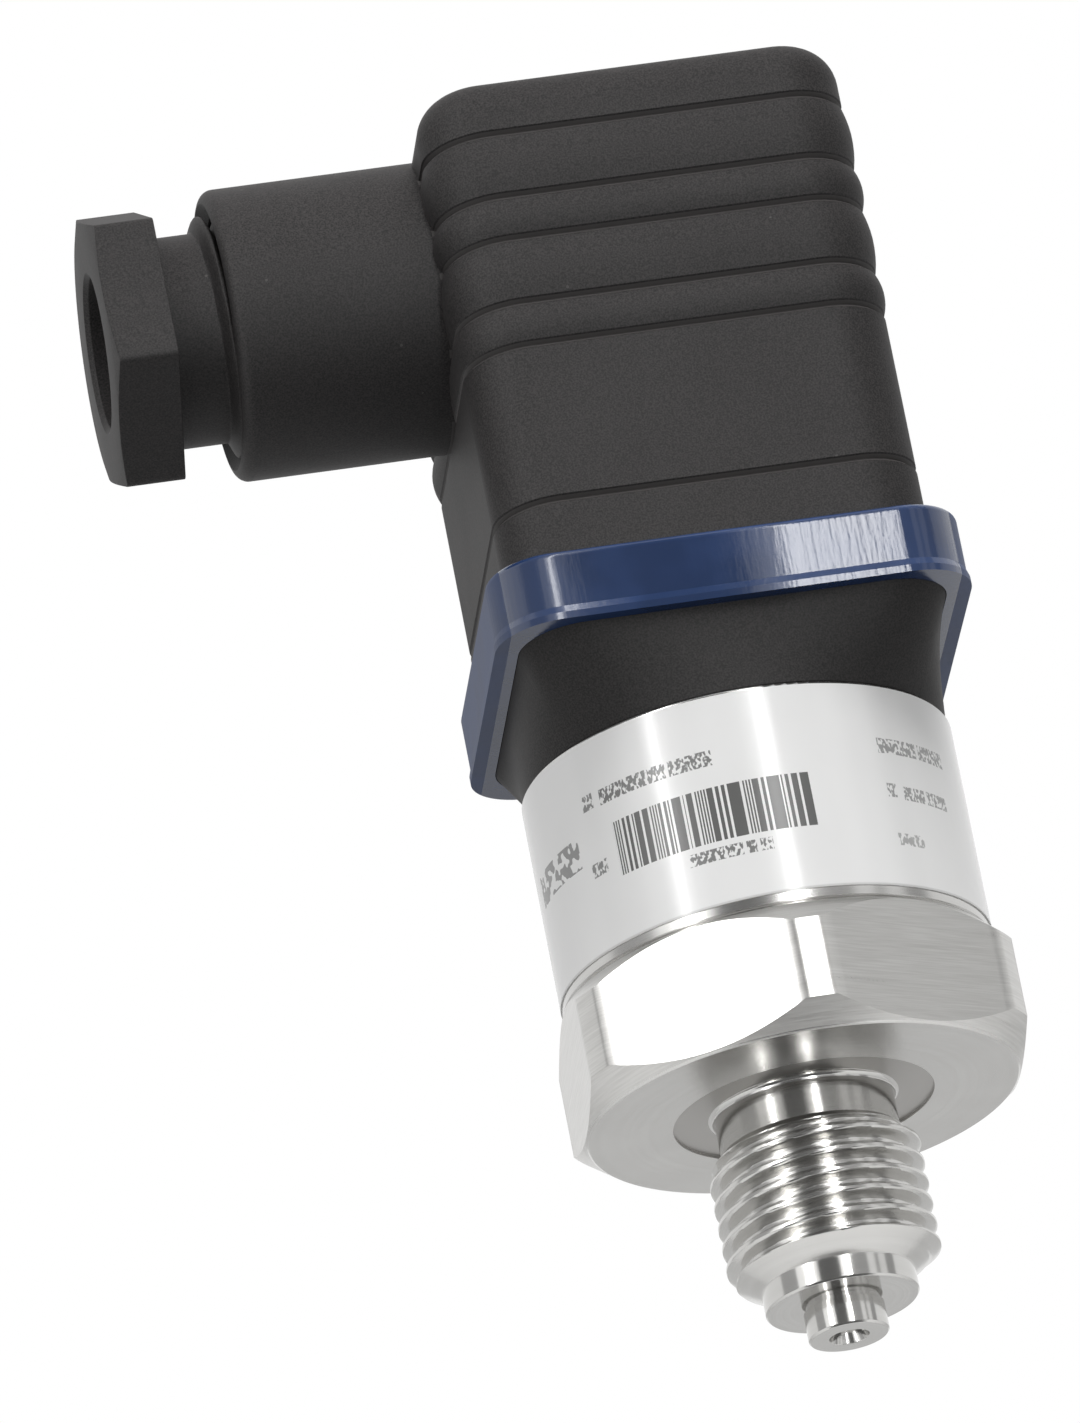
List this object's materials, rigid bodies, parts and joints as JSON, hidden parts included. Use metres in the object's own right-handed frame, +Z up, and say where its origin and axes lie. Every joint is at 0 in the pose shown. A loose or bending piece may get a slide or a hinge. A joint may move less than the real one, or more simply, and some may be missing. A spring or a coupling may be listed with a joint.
{
  "type": "pressure transmitter",
  "caption": "Pressure transmitter with a hexagonal steel body, threaded process shank, labelled sleeve, blue gasket and right-angle ribbed cable plug.",
  "frame": {"origin": "mouth of the pressure port, at the centre of the spigot's end face", "axes": "+Z up the instrument's axis to the top of the plug; the cable gland points to -X; -Y is the side with the label's face"},
  "size_m": [0.049, 0.0302, 0.0805],
  "materials": {
    "stainless_steel": "turned and lightly brushed",
    "label_film": "smooth film with a soft gloss",
    "black_nylon": "fine grained, dull",
    "blue_rubber": "satin",
    "black_rubber": "satin",
    "ceramic": "fired and lapped",
    "tinned_brass": "tin plated",
    "brass": "turned",
    "board_laminate": "lacquered",
    "chip_resin": "moulded",
    "tantalum_resin": "moulded",
    "capacitor_ceramic": "fired",
    "zinc_steel": "zinc plated"
  },
  "bodies": {
    "fitting": {"process_fitting": "stainless_steel", "cell_seal": "black_rubber", "pressure_cell": "ceramic", "thrust_ring": "stainless_steel", "sensor_pins": "tinned_brass", "tube": "stainless_steel", "label": "label_film", "connector_base": "black_nylon", "base_seal": "black_rubber", "centre_nut": "brass", "line_blades": "tinned_brass", "earth_blade": "tinned_brass", "circuit_board": "board_laminate", "converter_chip": "chip_resin", "input_capacitor": "tantalum_resin", "filter_capacitors": "capacitor_ceramic", "surge_diodes": "chip_resin", "gasket": "blue_rubber"},
    "insert": {"terminal_insert": "black_nylon", "line_contacts": "tinned_brass", "earth_contact": "tinned_brass"},
    "housing": {"plug_housing": "black_nylon", "cable_seal": "black_rubber"},
    "seal_washer": {"screw_seal": "black_rubber"},
    "centre_screw": {"fixing_screw": "zinc_steel"},
    "gland_washer": {"slip_washer": "black_nylon"},
    "gland_screw": {"pressure_screw": "black_nylon"},
    "clamp_1": {"clamp_plate_1": "zinc_steel"},
    "terminal_1": {"terminal_screw_1": "zinc_steel"},
    "clamp_2": {"clamp_plate_2": "zinc_steel"},
    "terminal_2": {"terminal_screw_2": "zinc_steel"},
    "clamp_3": {"clamp_plate_3": "zinc_steel"},
    "terminal_3": {"terminal_screw_3": "zinc_steel"},
    "clamp_4": {"clamp_plate_4": "zinc_steel"},
    "terminal_4": {"terminal_screw_4": "zinc_steel"}
  },
  "joints": [
    {"name": "plug_lift", "type": "slide", "parent": "fitting", "child": "insert", "axis": [0, 0, 1], "range_m": [0, 0.012]},
    {"name": "housing_lift", "type": "slide", "parent": "insert", "child": "housing", "axis": [0, 0, 1], "range_m": [0, 0.02]},
    {"name": "seal_rise", "type": "slide", "parent": "housing", "child": "seal_washer", "axis": [0, 0, 1], "range_m": [0, 0.004]},
    {"name": "centre_screw_turn", "type": "hinge", "parent": "seal_washer", "child": "centre_screw", "pos_m": [0, 0, 0.0787], "axis": [0, 0, 1], "range_deg": [0, 2880]},
    {"name": "washer_slide", "type": "slide", "parent": "housing", "child": "gland_washer", "axis": [-1, 0, 0], "range_m": [-0.00141, 0.00423]},
    {"name": "gland_screw_turn", "type": "hinge", "parent": "gland_washer", "child": "gland_screw", "pos_m": [-0.02085, 0, 0.07096], "axis": [-1, 0, 0], "range_deg": [-360, 1080]},
    {"name": "clamp_rise_1", "type": "slide", "parent": "insert", "child": "clamp_1", "axis": [0, 0, 1], "range_m": [0, 0.002]},
    {"name": "terminal_turn_1", "type": "hinge", "parent": "clamp_1", "child": "terminal_1", "pos_m": [0.0058, 0, 0.0577], "axis": [0, 0, 1], "range_deg": [0, 1440]},
    {"name": "clamp_rise_2", "type": "slide", "parent": "insert", "child": "clamp_2", "axis": [0, 0, 1], "range_m": [0, 0.002]},
    {"name": "terminal_turn_2", "type": "hinge", "parent": "clamp_2", "child": "terminal_2", "pos_m": [0, 0.0058, 0.0577], "axis": [0, 0, 1], "range_deg": [0, 1440]},
    {"name": "clamp_rise_3", "type": "slide", "parent": "insert", "child": "clamp_3", "axis": [0, 0, 1], "range_m": [0, 0.002]},
    {"name": "terminal_turn_3", "type": "hinge", "parent": "clamp_3", "child": "terminal_3", "pos_m": [-0.0058, 0, 0.0577], "axis": [0, 0, 1], "range_deg": [0, 1440]},
    {"name": "clamp_rise_4", "type": "slide", "parent": "insert", "child": "clamp_4", "axis": [0, 0, 1], "range_m": [0, 0.002]},
    {"name": "terminal_turn_4", "type": "hinge", "parent": "clamp_4", "child": "terminal_4", "pos_m": [0, -0.0058, 0.0577], "axis": [0, 0, 1], "range_deg": [0, 1440]}
  ],
  "couplings": [
    {"joint": "centre_screw_turn", "follows": "seal_rise", "rad_per_m": 12566},
    {"joint": "gland_screw_turn", "follows": "washer_slide", "rad_per_m": 4456.1},
    {"joint": "terminal_turn_1", "follows": "clamp_rise_1", "rad_per_m": 12566},
    {"joint": "terminal_turn_2", "follows": "clamp_rise_2", "rad_per_m": 12566},
    {"joint": "terminal_turn_3", "follows": "clamp_rise_3", "rad_per_m": 12566},
    {"joint": "terminal_turn_4", "follows": "clamp_rise_4", "rad_per_m": 12566}
  ]
}
